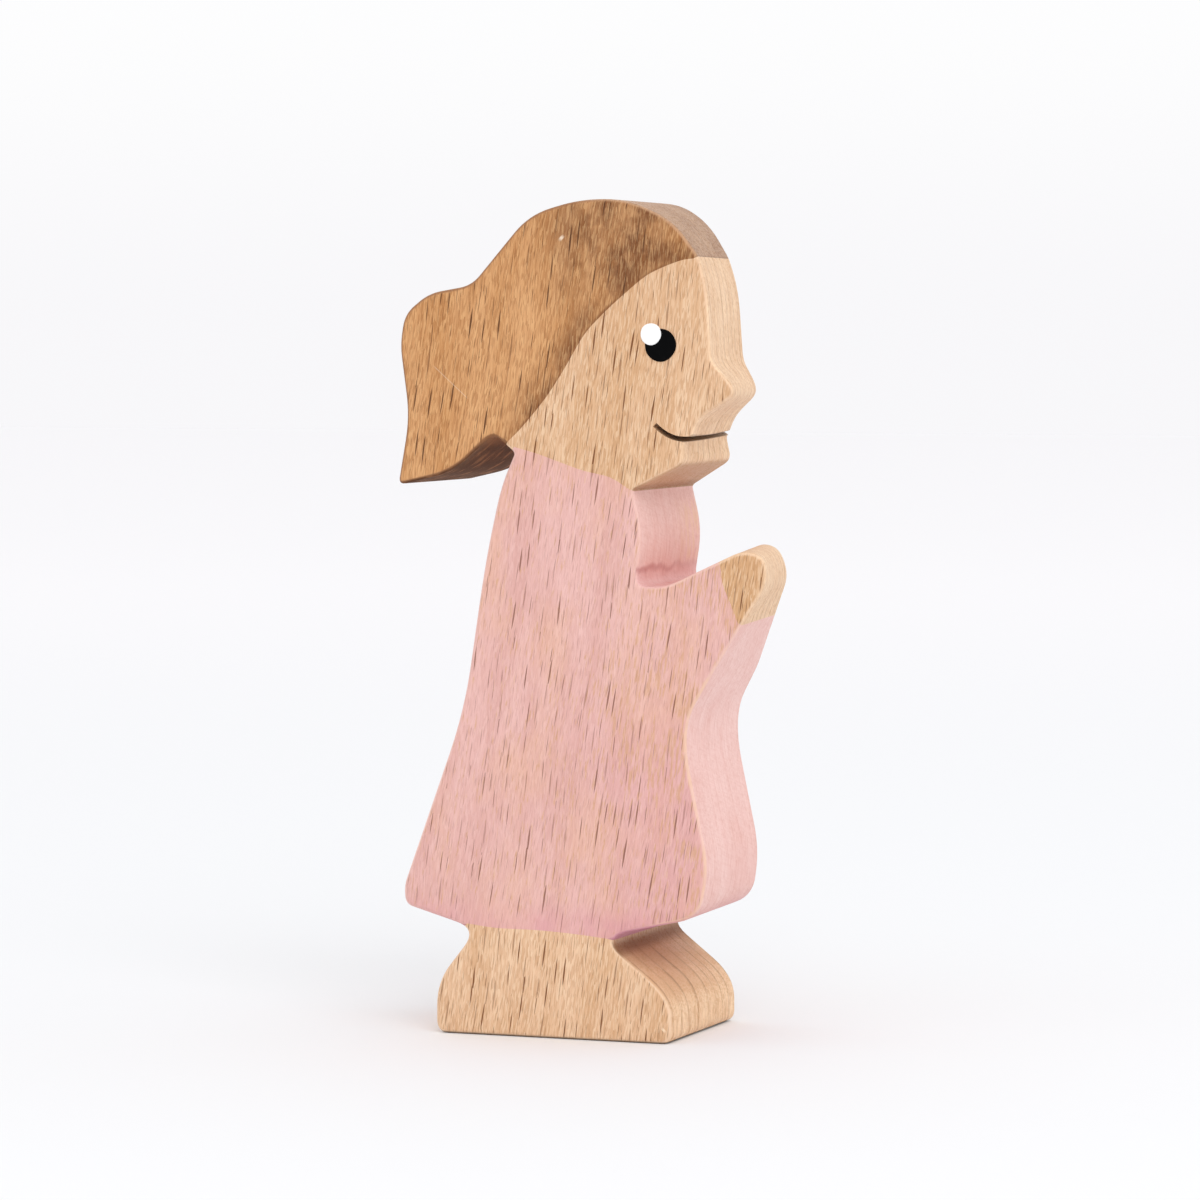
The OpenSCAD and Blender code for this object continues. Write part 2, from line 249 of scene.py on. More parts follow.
def meshPiece(name, bm, material):
    piece = newObject(name, bm)
    piece.data.materials.append(material)
    return piece


def softenEdges(piece, angle):
    mesh = piece.data
    mesh.polygons.foreach_set("use_smooth", [True] * len(mesh.polygons))
    mesh.set_sharp_from_angle(angle=math.radians(angle))
    weighted = piece.modifiers.new("flat faces stay flat", "WEIGHTED_NORMAL")
    weighted.keep_sharp = True


# the mouth is a saw cut through the board
mouth = {
    "lip": (11.7, 64.62),
    "width": 0.55,
    "length": 3.2,
    "curl": 1.5,
    "steps": 10,
    "shadeAndSingeAside": (0.55, 0.75),         # how far the painted shade and singeing reach, in widths of the cut
    "shadeAndSingeInward": (1.0, 0.4),          # and past its end, in mm
}


def mouthCutter():
    bm = bmesh.new()
    upper, lower = [], []
    for k in range(mouth["steps"] + 1):
        t = k / mouth["steps"]
        at = Vector((mouth["lip"][0] - mouth["length"] * t, mouth["lip"][1] + mouth["curl"] * t * t))
        slope = Vector((-mouth["length"], 2 * mouth["curl"] * t)).normalized()
        side = Vector((slope.y, -slope.x)) * mouth["width"] / 2
        upper.append(at + side)
        lower.append(at - side)
    out = mouth["lip"][0] + mouth["length"]
    ends = [Vector((out, lower[0].y)), Vector((out, upper[0].y))]
    loop = ends + upper + lower[::-1]
    reach = board["thickness"]
    sheet = bm.faces.new([bm.verts.new(Vector((p.x, -reach, p.y)) * mm) for p in loop])
    grown = bmesh.ops.extrude_face_region(bm, geom=[sheet], use_keep_orig=True)
    moved = [g for g in grown["geom"] if isinstance(g, bmesh.types.BMVert)]
    bmesh.ops.translate(bm, verts=moved, vec=(0.0, 2 * reach * mm, 0.0))
    facesOut(bm)
    return newObject("mouth saw", bm)


def sawMouth(piece):
    cutter = mouthCutter()
    cut = piece.modifiers.new("mouth", "BOOLEAN")
    cut.operation = "DIFFERENCE"
    cut.solver = "EXACT"
    cut.object = cutter
    graph = bpy.context.evaluated_depsgraph_get()
    sawn = bpy.data.meshes.new_from_object(piece.evaluated_get(graph))
    piece.modifiers.clear()
    piece.data = sawn
    bpy.data.objects.remove(cutter)


# building blocks of the materials
def tone(red, green, blue):                            # a colour as seen on screen, made linear
    parts = [c / 255 for c in (red, green, blue)]
    return [c / 12.92 if c <= 0.04045 else ((c + 0.055) / 1.055) ** 2.4 for c in parts] + [1.0]


def add(tree, kind, inputs, **settings):
    node = tree.nodes.new(kind)
    for key, value in settings.items():
        setattr(node, key, value)
    for key, value in inputs.items():
        if isinstance(value, bpy.types.NodeSocket):
            tree.links.new(value, node.inputs[key])
        else:
            node.inputs[key].default_value = value
    return node


def maths(tree, operation, a, b=0.0):
    return add(tree, "ShaderNodeMath", {0: a, 1: b}, operation=operation).outputs[0]


def product(tree, mask, *others):
    for other in others:
        mask = maths(tree, "MULTIPLY", mask, other)
    return mask


def vectors(tree, operation, a, b):
    return add(tree, "ShaderNodeVectorMath", {0: a, 1: b}, operation=operation).outputs


def axes(tree, vector):
    return add(tree, "ShaderNodeSeparateXYZ", {"Vector": vector}).outputs


def fade(tree, value, low, high, toLow=0.0, toHigh=1.0):
    inputs = {"Value": value, "From Min": low, "From Max": high, "To Min": toLow, "To Max": toHigh}
    return add(tree, "ShaderNodeMapRange", inputs, interpolation_type="SMOOTHSTEP").outputs["Result"]


def blend(tree, factor, a, b):
    node = add(tree, "ShaderNodeMix", {"Factor": factor}, data_type="RGBA", blend_type="MIX")
    for socket, value in ((node.inputs[6], a), (node.inputs[7], b)):
        if isinstance(value, bpy.types.NodeSocket):
            tree.links.new(value, socket)
        else:
            socket.default_value = value
    return node.outputs[2]


def stretch(tree, vector, room):
    scale = [1 / r for r in room]                      # room of one cell of the pattern along x, y, z
    return add(tree, "ShaderNodeMapping", {"Vector": vector, "Scale": scale}).outputs["Vector"]


def turned(tree, vector, rotation):
    return add(tree, "ShaderNodeMapping", {"Vector": vector, "Rotation": rotation}).outputs["Vector"]


def noise(tree, vector, room, detail=3.0, rough=0.55):
    inputs = {"Vector": stretch(tree, vector, room), "Scale": 1.0, "Detail": detail, "Roughness": rough}
    return add(tree, "ShaderNodeTexNoise", inputs).outputs["Fac"]


def freshMaterial(name):
    material = bpy.data.materials.new(name)
    material.use_nodes = True
    material.node_tree.nodes.clear()
    return material, material.node_tree


def finishSurface(tree, inputs):
    shader = add(tree, "ShaderNodeBsdfPrincipled", inputs)
    out = add(tree, "ShaderNodeOutputMaterial", {})
    tree.links.new(shader.outputs["BSDF"], out.inputs["Surface"])


# the grain that bare and stained wood share, in mm: "From" names where a pattern starts and is full
grain = {
    "lean": math.radians(-8.0),       # how far the grain leans
    "sway": (9.0, 9.0, 16.0),         # room of one bend of the grain along x, y, z
    "swayReach": (0.9, 0.0, 0.0),
    "fleck": {"room": (0.85, 9.0, 4.0), "half": (0.125, 7.0, 2.0), "least": 0.0, "rim": 0.6},
    "fine": {"room": (0.36, 5.0, 2.0), "half": (0.07, 4.0, 0.9), "least": 0.1, "rim": 0.5},
    "scatter": 0.75,                  # how far a fleck strays from its place
    "smallest": 0.15,                 # the smallest fleck and the faintest, as shares of a whole one
    "faintest": 0.5,
    "fibre": (0.095, 0.3, 0.9),       # room of one fibre, each lighter or darker than the next
    "streakFrom": (0.45, 1.0),
    "poreFrom": (0.0, 0.5, 1.0, 0.0),
    "cloud": ((3.2, 5.0, 20.0), 4.0),
    "cloudFrom": (0.34, 0.66),
    "edge": ((1.5, 0.22, 4.0), 3.0, 0.6),       # long grain on the sawn edges
    "edgeFrom": (0.4, 0.64),
    "saw": ((2.2, 3.0, 0.2), 3.0, 0.6),         # fine lines across them
    "sawFrom": (0.44, 0.62),
    "sawLean": math.radians(14.0),
    "ring": 2.3,                      # growth ring spacing through the board
    "ringBend": ((30.0, 16.0, 45.0), 2.5),
    "ringReach": 7.0,
    "ringRise": (0.72, 0.95),
    "ringFall": (0.95, 1.0, 1.0, 0.0),
    "ringFade": ((4.0, 1.6, 8.0), 2.0),
    "ringFadeFrom": (0.35, 0.65, 0.25, 1.0),
    "flatFrom": (0.55, 0.97),         # how squarely a face looks sideways
    "arrisFrom": (0.12, 0.45),
    "arrisTo": (0.80, 0.995, 1.0, 0.0),
    "wallFibre": 0.65,                # strength of the fibres on the sawn edges
    "rubbed": (0.15, 0.6),            # least and most wear on the arris
    "dents": {"streak": -0.35, "pore": 0.3},    # heights beside a fleck's full depth
    "dentDepth": 0.06,
    "specular": 0.25,
    "scratchEnd": 0.6,
    "scratchCore": 0.4,
    "rightSide": (-0.99, -0.9, 1.0, 0.0),
}


def fleckField(tree, along, spec):
    spot = stretch(tree, along, spec["room"])
    inputs = {"Vector": spot, "Scale": 1.0, "Randomness": grain["scatter"]}
    cell = add(tree, "ShaderNodeTexVoronoi", inputs, feature="F1").outputs
    away = vectors(tree, "SUBTRACT", spot, cell["Position"])[0]
    inHalves = [r / h for r, h in zip(spec["room"], spec["half"])]
    share = axes(tree, vectors(tree, "MULTIPLY", away, inHalves)[0])
    across = maths(tree, "ABSOLUTE", share["X"])
    length = maths(tree, "POWER", maths(tree, "ABSOLUTE", share["Z"]), 2.0)
    depth = maths(tree, "POWER", maths(tree, "ABSOLUTE", share["Y"]), 2.0)
    reach = maths(tree, "ADD", maths(tree, "ADD", across, length), depth)
    chance = add(tree, "ShaderNodeSeparateColor", {"Color": cell["Color"]}).outputs
    size = fade(tree, chance[0], spec["least"], 1.0, grain["smallest"], 1.0)
    mark = fade(tree, maths(tree, "DIVIDE", reach, size), spec["rim"], 1.0, 1.0, 0.0)
    return product(tree, mark, fade(tree, chance[1], 0.0, 1.0, grain["faintest"], 1.0))


def ringField(tree, inMm, depth):
    bend = noise(tree, inMm, *grain["ringBend"])
    across = maths(tree, "ADD", depth, product(tree, bend, grain["ringReach"]))
    phase = maths(tree, "FRACT", maths(tree, "DIVIDE", across, grain["ring"]))
    line = product(tree, fade(tree, phase, *grain["ringRise"]), fade(tree, phase, *grain["ringFall"]))
    return product(tree, line, fade(tree, noise(tree, inMm, *grain["ringFade"]), *grain["ringFadeFrom"]))


def alongGrain(tree, inMm):
    inputs = {"Vector": stretch(tree, inMm, grain["sway"]), "Scale": 1.0, "Detail": 1.0}
    bend = add(tree, "ShaderNodeTexNoise", inputs).outputs["Color"]
    swing = vectors(tree, "SUBTRACT", bend, (0.5, 0.5, 0.5))[0]          # noise lies about its middle
    sway = vectors(tree, "MULTIPLY", swing, grain["swayReach"])[0]
    wavy = vectors(tree, "ADD", inMm, sway)[0]
    return turned(tree, wavy, (0.0, grain["lean"], 0.0))


def grainFields(tree):
    place = add(tree, "ShaderNodeTexCoord", {}).outputs
    inMm = stretch(tree, place["Object"], (mm, mm, mm))
    spot = axes(tree, inMm)
    facing = axes(tree, place["Normal"])
    along = alongGrain(tree, inMm)
    sideways = maths(tree, "ABSOLUTE", facing["Y"])
    flat = fade(tree, sideways, *grain["flatFrom"])
    arris = product(tree, fade(tree, sideways, *grain["arrisFrom"]), fade(tree, sideways, *grain["arrisTo"]))
    across = turned(tree, inMm, (grain["sawLean"], 0.0, 0.0))
    sawn = fade(tree, noise(tree, across, *grain["saw"]), *grain["sawFrom"])
    fibres = {"Vector": stretch(tree, along, grain["fibre"]), "Scale": 1.0}
    fibre = add(tree, "ShaderNodeTexVoronoi", fibres, feature="F1").outputs["Color"]
    chance = add(tree, "ShaderNodeSeparateColor", {"Color": fibre}).outputs[0]
    return {
        "mm": inMm,
        "x": spot["X"],
        "y": spot["Y"],
        "z": spot["Z"],
        "along": along,
        "facingY": facing["Y"],
        "facingZ": facing["Z"],
        "flat": flat,
        "wall": fade(tree, flat, 0.0, 1.0, 1.0, 0.0),
        "arris": arris,
        "fleck": fleckField(tree, along, grain["fleck"]),
        "fine": fleckField(tree, along, grain["fine"]),
        "streak": fade(tree, chance, *grain["streakFrom"]),
        "pore": fade(tree, chance, *grain["poreFrom"]),
        "cloud": fade(tree, noise(tree, along, *grain["cloud"]), *grain["cloudFrom"]),
        "ring": ringField(tree, inMm, spot["Y"]),
        "edge": fade(tree, noise(tree, inMm, *grain["edge"]), *grain["edgeFrom"]),
        "saw": product(tree, sawn, maths(tree, "ABSOLUTE", facing["X"])),
    }


def spotMask(tree, field, spec):
    seenSideways = vectors(tree, "MULTIPLY", field["mm"], (1.0, 0.0, 1.0))[0]
    x, z = spec["at"]
    away = vectors(tree, "DISTANCE", seenSideways, (x, 0.0, z))["Value"]
    return fade(tree, away, spec["near"], spec["far"], spec["strength"], 0.0)


def scratch(tree, field, start, end, width):
    run = Vector(end) - Vector(start)
    way = run.normalized()
    soft = grain["scratchEnd"]
    x = maths(tree, "SUBTRACT", field["x"], start[0])
    z = maths(tree, "SUBTRACT", field["z"], start[1])
    ahead = maths(tree, "ADD", product(tree, x, way.x), product(tree, z, way.y))
    aside = maths(tree, "ADD", product(tree, x, -way.y), product(tree, z, way.x))
    beside = fade(tree, maths(tree, "ABSOLUTE", aside), width * grain["scratchCore"], width, 1.0, 0.0)
    begun = fade(tree, ahead, 0.0, soft)
    ended = fade(tree, ahead, run.length - soft, run.length, 1.0, 0.0)
    return product(tree, begun, ended, beside, fade(tree, field["facingY"], *grain["rightSide"]))


def scratched(tree, field, colour, finish):
    for start, end, width, strength in finish["marks"]:
        mask = product(tree, scratch(tree, field, start, end, width), strength)
        colour = blend(tree, mask, colour, finish["mark"])
    return colour


def bodyColour(tree, field, finish):
    body = blend(tree, field["cloud"], finish["pale"], finish["deep"])
    wall = blend(tree, field["cloud"], finish["edgePale"], finish["edgeDeep"])
    for lines in ("edge", "ring", "saw"):
        wall = blend(tree, product(tree, field[lines], finish[lines + "Strength"]), wall, finish["ring"])
    return blend(tree, field["flat"], wall, body)


def grainOver(tree, field, colour, finish):
    depth = fade(tree, field["flat"], 0.0, 1.0, grain["wallFibre"], 1.0)
    for mark in ("streak", "pore"):
        strength = product(tree, field[mark], finish[mark + "Strength"], depth)
        colour = blend(tree, strength, colour, finish[mark])
    for mark in ("fine", "fleck"):
        strength = product(tree, field[mark], finish[mark + "Strength"], field["flat"])
        colour = blend(tree, strength, colour, finish["fleck"])
    rubbed = product(tree, field["arris"], fade(tree, field["cloud"], 0.0, 1.0, *grain["rubbed"]))
    return blend(tree, rubbed, colour, finish["rub"])


def finishWood(tree, field, colour, finish, dull=0.0):
    dents = product(tree, field["fleck"], -1.0, field["flat"])
    for mark, height in grain["dents"].items():
        dents = maths(tree, "ADD", dents, product(tree, field[mark], height))
    relief = {"Height": dents, "Strength": finish["bump"], "Distance": grain["dentDepth"] * mm}
    bump = add(tree, "ShaderNodeBump", relief)
    gloss = maths(tree, "MAXIMUM", fade(tree, field["streak"], 0.0, 1.0, *finish["rough"]), dull)
    finishSurface(tree, {
        "Base Color": colour,
        "Roughness": gloss,
        "Normal": bump.outputs["Normal"],
        "Specular IOR Level": grain["specular"],
    })


# bare beech of the face, hand and feet
beechFinish = {
    "pale": tone(233, 194, 159), "deep": tone(221, 178, 139),
    "edgePale": tone(248, 213, 176), "edgeDeep": tone(238, 198, 158),
    "ring": tone(182, 130, 88), "ringStrength": 0.6, "edgeStrength": 0.32, "sawStrength": 0.1,
    "streak": tone(166, 112, 64), "streakStrength": 0.29,
    "pore": tone(255, 233, 202), "poreStrength": 0.27,
    "fleck": tone(122, 72, 34), "fleckStrength": 0.95, "fineStrength": 0.7,
    "rub": tone(246, 214, 184),
    "bump": 0.7, "rough": (0.5, 0.7),
    "warm": tone(204, 154, 104),        # face and hand are a little darker than the foot
    "warmFrom": (30.0, 40.0, 0.0, 0.22),
    "handFrom": (13.0, 15.0, 0.0, 0.3),
    "handTo": (54.0, 58.0, 1.0, 0.0),
    "slope": tone(212, 164, 122),       # end grain on top of the foot
    "slopeFacing": (0.2, 0.7),
    "slopeTo": (13.0, 20.0, 0.7, 0.0),
    "slopeCloud": (0.5, 1.0),
    "slopeLines": 0.6,
    "crease": tone(112, 68, 38),        # painted shade in the creases of ankle and chin, partly dark stain
    "shadedCreases": [
        {"at": (4.1, 9.9), "near": 0.2, "far": 1.7, "strength": 0.7},
        {"at": (4.6, 9.8), "near": 0.8, "far": 4.4, "strength": 0.2},
        {"at": (6.0, 59.2), "near": 0.2, "far": 1.8, "strength": 0.4},
    ],
    # painted shade on the underside of the chin
    "underChin": tone(178, 134, 98),
    "chinShadeFacing": (-0.75, -0.3, 1.0, 0.0),
    "chinShadeFrom": (55.0, 58.0),
    "chinShadeTo": (62.0, 63.5, 0.6, 0.0),
    "sole": tone(78, 54, 40),           # painted contact shadow along the edge it stands on
    "soleTo": (0.06, 0.36, 0.8, 0.0),
    "kerfShadeAndSinge": tone(74, 48, 30),           # painted shade inside the saw cut, with some singeing by the saw
    "kerfShadeStrength": 0.45,
    "mark": tone(255, 233, 202),
    "marks": [((9.2, 1.9), (9.9, 1.2), 0.2, 0.8)],      # chip at the toe: start, end, width, strength
}


# where the painted shade and singeing of the saw cut lie
def kerfShadeMask(tree, field):
    lipX, lipZ = mouth["lip"]
    inner = lipX - mouth["length"]
    inward = product(tree, maths(tree, "SUBTRACT", lipX, field["x"]), 1 / mouth["length"])
    rise = product(tree, maths(tree, "POWER", inward, 2.0), mouth["curl"])
    level = maths(tree, "ADD", rise, lipZ)
    aside = maths(tree, "ABSOLUTE", maths(tree, "SUBTRACT", field["z"], level))
    near, far = [share * mouth["width"] for share in mouth["shadeAndSingeAside"]]
    start, full = [inner - past for past in mouth["shadeAndSingeInward"]]
    return product(tree, fade(tree, aside, near, far, 1.0, 0.0), fade(tree, field["x"], start, full))


def bareBeech():
    material, tree = freshMaterial("bare beech")
    field = grainFields(tree)
    spec = beechFinish
    x, z = field["x"], field["z"]
    colour = bodyColour(tree, field, spec)

    hand = product(tree, fade(tree, x, *spec["handFrom"]), fade(tree, z, *spec["handTo"]))
    warm = maths(tree, "ADD", fade(tree, z, *spec["warmFrom"]), hand)
    colour = blend(tree, product(tree, warm, field["flat"]), colour, spec["warm"])
    colour = grainOver(tree, field, colour, spec)

    slanted = fade(tree, field["facingZ"], *spec["slopeFacing"])
    upward = product(tree, slanted, fade(tree, z, *spec["slopeTo"]))
    upward = product(tree, upward, fade(tree, field["cloud"], 0.0, 1.0, *spec["slopeCloud"]))
    colour = blend(tree, product(tree, upward, field["wall"]), colour, spec["slope"])
    colour = blend(tree, product(tree, upward, field["ring"], spec["slopeLines"]), colour, spec["crease"])

    # painted shade on the downward wall under the chin
    chin = product(tree, fade(tree, z, *spec["chinShadeFrom"]), fade(tree, z, *spec["chinShadeTo"]))
    chin = product(tree, chin, fade(tree, field["facingZ"], *spec["chinShadeFacing"]), field["wall"])
    colour = blend(tree, chin, colour, spec["underChin"])
    # painted shade darkens the walls in the creases of ankle and chin
    for crease in spec["shadedCreases"]:
        dark = product(tree, spotMask(tree, field, crease), field["wall"])
        colour = blend(tree, dark, colour, spec["crease"])

    # painted contact shadow along the bottom edge
    colour = blend(tree, fade(tree, z, *spec["soleTo"]), colour, spec["sole"])
    # painted shade and some singeing on the walls of the saw cut
    shadedAndSinged = product(tree, kerfShadeMask(tree, field), field["wall"], spec["kerfShadeStrength"])
    colour = blend(tree, shadedAndSinged, colour, spec["kerfShadeAndSinge"])
    colour = scratched(tree, field, colour, spec)
    colour = blend(tree, product(tree, hand, field["fine"], field["flat"]), colour, spec["fleck"])
    finishWood(tree, field, colour, spec)
    return material


# brown stain of the hair
hairFinish = {
    "pale": tone(213, 159, 109), "deep": tone(196, 139, 87),
    "edgePale": tone(198, 160, 129), "edgeDeep": tone(180, 140, 109),
    "ring": tone(140, 100, 74), "ringStrength": 0.4, "edgeStrength": 0.35, "sawStrength": 0.25,
    "streak": tone(132, 76, 30), "streakStrength": 0.38,
    "pore": tone(244, 198, 142), "poreStrength": 0.26,
    "fleck": tone(84, 44, 16), "fleckStrength": 0.9, "fineStrength": 0.6,
    "rub": tone(206, 160, 122),
    "bump": 0.7, "rough": (0.45, 0.65),
    "dark": tone(92, 42, 6),            # pooled stain at the fringe and along the hair line
    "darkShare": (0.1, 0.9),            # on the sawn edges and on the flat faces
    "lineBox": ((-10.0, 60.0), (14.0, 86.0)),
    "lineFrom": (-10.0, -6.0),
    "blotch": ((4.0, 5.0, 5.0), 5.0, 0.65),
    "blotchFrom": (0.38, 0.62, 0.35, 1.0),
    "pooled": (0.2, 6.5, 0.85, 0.0),    # height above the hair line
    "seam": (0.1, 0.8, 0.75, 0.0),
    "fringe": {"at": (6.0, 86.0), "near": 2.0, "far": 14.0, "strength": 1.0},
    "rimTo": (-2.0, 5.0, 0.6, 0.0),     # darker arris behind the fringe
    "under": tone(58, 28, 10),          # painted shade on the sawn underside of the tail
    "underFacing": (-0.85, -0.25, 1.0, 0.0),
    "underStrength": 0.8,
    "underLines": ((3.0, 1.0, 2.4), 4.0),
    "underLinesFrom": (0.5, 0.64, 0.0, 0.6),
    # lighter grain lines on the underside, and a painted highlight along its top
    "underTop": (63.2, 64.4, 0.0, 0.55),
    "underWorn": tone(176, 126, 86),
    "mark": tone(244, 224, 200),
    "marks": [                          # a light scratch and a chip: start, end, width, strength
        ((-16.9, 72.4), (-12.7, 68.7), 0.06, 0.3),
        ((-2.4, 85.6), (-1.7, 86.3), 0.24, 1.0),
    ],
}


def lineLevel(tree, value, points, low, high):
    span = [(a - low[0]) / (high[0] - low[0]) for a, b in points]
    rise = [(b - low[1]) / (high[1] - low[1]) for a, b in points]
    share = add(tree, "ShaderNodeMapRange", {"Value": value, "From Min": low[0], "From Max": high[0]})
    curve = add(tree, "ShaderNodeFloatCurve", {"Value": share.outputs["Result"]})
    mapping = curve.mapping.curves[0]
    mapping.points[0].location = (span[0], rise[0])
    mapping.points[1].location = (span[-1], rise[-1])
    for s, r in zip(span[1:-1], rise[1:-1]):
        mapping.points.new(s, r)
    curve.mapping.update()
    inputs = {"Value": curve.outputs["Value"], "To Min": low[1], "To Max": high[1]}
    return add(tree, "ShaderNodeMapRange", inputs).outputs["Result"]


def brownHair():
    material, tree = freshMaterial("brown hair stain")
    field = grainFields(tree)
    spec = hairFinish
    x, z = field["x"], field["z"]
    colour = bodyColour(tree, field, spec)

    line = [(px, pz) for px, pz, setBack in stainLines["hair"]["points"]]
    above = maths(tree, "SUBTRACT", z, lineLevel(tree, x, line, *spec["lineBox"]))
    patchy = fade(tree, noise(tree, field["mm"], *spec["blotch"]), *spec["blotchFrom"])
    onLine = fade(tree, x, *spec["lineFrom"])
    pooled = product(tree, fade(tree, above, *spec["pooled"]), patchy, onLine)
    fringe = product(tree, spotMask(tree, field, spec["fringe"]), patchy)
    seam = product(tree, fade(tree, above, *spec["seam"]), onLine)
    dark = maths(tree, "MAXIMUM", maths(tree, "MAXIMUM", pooled, fringe), seam)
    dark = product(tree, dark, fade(tree, field["flat"], 0.0, 1.0, *spec["darkShare"]))
    colour = blend(tree, dark, colour, spec["dark"])
    colour = grainOver(tree, field, colour, spec)
    colour = scratched(tree, field, colour, spec)

    rim = product(tree, field["arris"], fade(tree, x, *spec["rimTo"]))
    colour = blend(tree, rim, colour, spec["streak"])
    # painted shade on faces that look down, then grain lines and a painted highlight along the top
    shadedUnderside = fade(tree, field["facingZ"], *spec["underFacing"])
    colour = blend(tree, product(tree, shadedUnderside, spec["underStrength"]), colour, spec["under"])
    lines = fade(tree, noise(tree, field["mm"], *spec["underLines"]), *spec["underLinesFrom"])
    worn = maths(tree, "MAXIMUM", lines, fade(tree, z, *spec["underTop"]))
    colour = blend(tree, product(tree, shadedUnderside, worn), colour, spec["underWorn"])
    finishWood(tree, field, colour, spec, shadedUnderside)
    return material


# pink wash of the dress
dressFinish = {
    "pale": tone(231, 184, 177), "deep": tone(223, 173, 165),
    "edgePale": tone(243, 204, 197), "edgeDeep": tone(237, 191, 183),
    "ring": tone(224, 168, 156), "ringStrength": 0.3, "edgeStrength": 0.3, "sawStrength": 0.2,
    "streak": tone(186, 132, 118), "streakStrength": 0.16,
    "pore": tone(252, 218, 211), "poreStrength": 0.14,
    "fleck": tone(138, 90, 72), "fleckStrength": 0.85, "fineStrength": 0.42,
    "rub": tone(242, 206, 194),
    "bump": 0.7, "rough": (0.5, 0.7),
    "peach": tone(231, 182, 157),       # where the wood warms the wash
    "warm": ((6.0, 8.0, 11.0), 4.0, 0.6),
    "warmFrom": (0.4, 0.7, 0.0, 0.55),
    "frontSpots": ("hem front", "knee", "lap", "under arm", "hand line below"),
    "frontBox": ((10.0, 6.0), (46.0, 20.0)),
    "rose": tone(218, 154, 162),        # where the wash ran together
    "flush": (2.0, 16.0, 0.3, 0.0),     # distance behind the front edge
    "flushTo": (26.0, 40.0, 1.0, 0.0),
    "patch": ((7.0, 6.0, 6.0), 4.0, 0.6),
    "tan": tone(214, 165, 128),         # wood that the wash left thin
    "tanStroke": ((0.2, 0.8, 1.8), 2.0, 0.6),
    "tanFrom": (0.58, 0.7, 0.0, 0.7),
    "thinWide": (2.0, 22.0, 0.11, 0.0),
    "thinWidePatch": (0.4, 0.62, 0.2, 1.0),
    "thinEdge": (0.2, 2.4, 0.07, 0.0),
    "thinEdgePatch": (0.42, 0.58),
    "tanEdge": tone(236, 195, 162),     # rubbed arris in front
    "frontFrom": (4.0, 9.0),
    "frontDepth": (-2.0, 2.0, 1.0, 0.2),
    "frontTo": (38.0, 46.0, 1.0, 0.15),
    "frontPatch": (0.4, 0.56, 0.1, 0.6),
    "hemTo": (11.5, 15.5, 0.85, 0.0),
    "hemPatch": (0.35, 0.6, 0.75, 0.3),
    "hollow": {"at": (8.0, 49.0), "near": 1.2, "far": 3.0, "strength": 0.3},
    "neckFrom": (50.0, 52.0),           # thin wash on the far side of the neck
    "neckTo": (56.5, 58.5, 1.0, 0.0),
    "neckDepth": (0.0, 7.0),
    "neckStroke": (6.0, 0.5, 3.0),
    "neckStrokeFrom": (0.44, 0.6, 0.0, 0.6),
    "crease": tone(186, 112, 110),      # painted shade along the line where the neck meets the hollow
    "creaseHeight": 51.4,
    "creaseStray": (4.0, 3.0, 4.0),
    "creaseReach": 1.6,
    "creaseWidth": (0.0, 0.6, 1.0, 0.0),
    "creaseDepth": (-9.0, 8.0, 0.6, 0.2),
    "creaseFrom": (5.0, 6.0),
    "creaseTo": (8.0, 9.0, 1.0, 0.0),
    "magenta": tone(208, 146, 166),     # wash that gathered under the hem
    "magentaStrength": 0.7,
    "belowTo": (12.6, 13.6, 1.0, 0.0),
    "belowFrom": (-2.0, 2.0),
}


def thinWash(tree, field, behind, patch):
    spec = dressFinish
    wide = product(tree, fade(tree, patch, *spec["thinWidePatch"]), fade(tree, behind, *spec["thinWide"]))
    edge = product(tree, fade(tree, behind, *spec["thinEdge"]), fade(tree, patch, *spec["thinEdgePatch"]))
    stroke = noise(tree, field["along"], *spec["tanStroke"])
    bare = maths(tree, "ADD", stroke, maths(tree, "ADD", wide, edge))
    return product(tree, fade(tree, bare, *spec["tanFrom"]), field["flat"])


def neckCreaseShade(tree, field):
    spec = dressFinish
    stray = product(tree, noise(tree, field["mm"], spec["creaseStray"]), spec["creaseReach"])
    level = maths(tree, "SUBTRACT", maths(tree, "ADD", field["z"], stray), spec["creaseHeight"])
    line = fade(tree, maths(tree, "ABSOLUTE", level), *spec["creaseWidth"])
    line = product(tree, line, fade(tree, field["y"], *spec["creaseDepth"]))
    x = field["x"]
    inHollow = product(tree, fade(tree, x, *spec["creaseTo"]), fade(tree, x, *spec["creaseFrom"]))
    return product(tree, line, inHollow, field["wall"])


